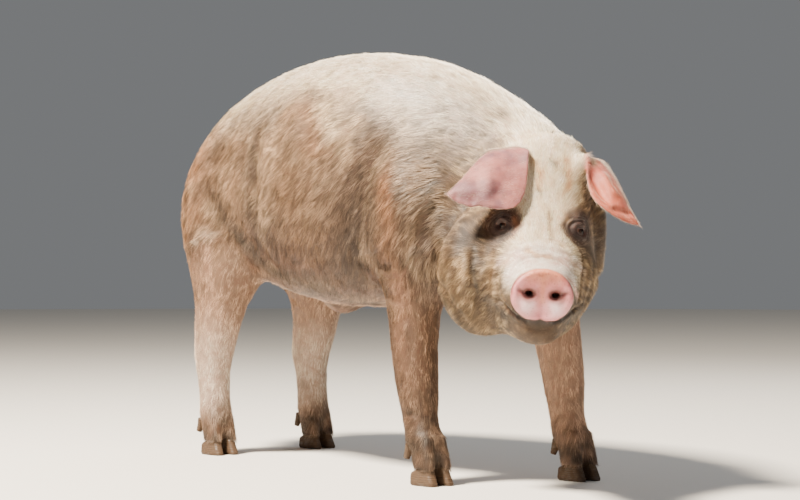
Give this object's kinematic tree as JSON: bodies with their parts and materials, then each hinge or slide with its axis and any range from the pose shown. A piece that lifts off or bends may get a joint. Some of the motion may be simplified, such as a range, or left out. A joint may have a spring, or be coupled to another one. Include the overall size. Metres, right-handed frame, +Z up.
{
  "type": "domestic pig",
  "caption": "Still, life-size model of a white domestic pig with forward-flopping ears, standing on its cloven feet with its head turned to its right.",
  "frame": {"origin": "on the floor, under the middle of the pig's bounding box", "axes": "+X along the body from tail to head, +Y towards the pig's left side, +Z up"},
  "size_m": [1.4798, 0.4644, 0.8565],
  "materials": {
    "skin": "matt, pale bristles over pink skin",
    "leg_skin": "matt, short bristles and dried mud",
    "ear_skin": "satin, thinly haired pink skin",
    "eye": "wet gloss",
    "hoof_horn": "worn horn with dried mud"
  },
  "bodies": {
    "root": {"head": "skin", "neck": "skin", "torso": "skin", "tail": "skin", "ear_left": "ear_skin", "ear_right": "ear_skin", "eye_left": "eye", "eye_right": "eye", "foreleg_left": "leg_skin", "foreleg_right": "leg_skin", "hindleg_left": "leg_skin", "hindleg_right": "leg_skin", "foreclaw_left_outer": "hoof_horn", "foreclaw_left_inner": "hoof_horn", "foreclaw_right_outer": "hoof_horn", "foreclaw_right_inner": "hoof_horn", "hindclaw_left_outer": "hoof_horn", "hindclaw_left_inner": "hoof_horn", "hindclaw_right_outer": "hoof_horn", "hindclaw_right_inner": "hoof_horn", "foredewclaw_left_outer": "hoof_horn", "foredewclaw_left_inner": "hoof_horn", "foredewclaw_right_outer": "hoof_horn", "foredewclaw_right_inner": "hoof_horn", "hinddewclaw_left_outer": "hoof_horn", "hinddewclaw_left_inner": "hoof_horn", "hinddewclaw_right_outer": "hoof_horn", "hinddewclaw_right_inner": "hoof_horn"}
  },
  "joints": []
}
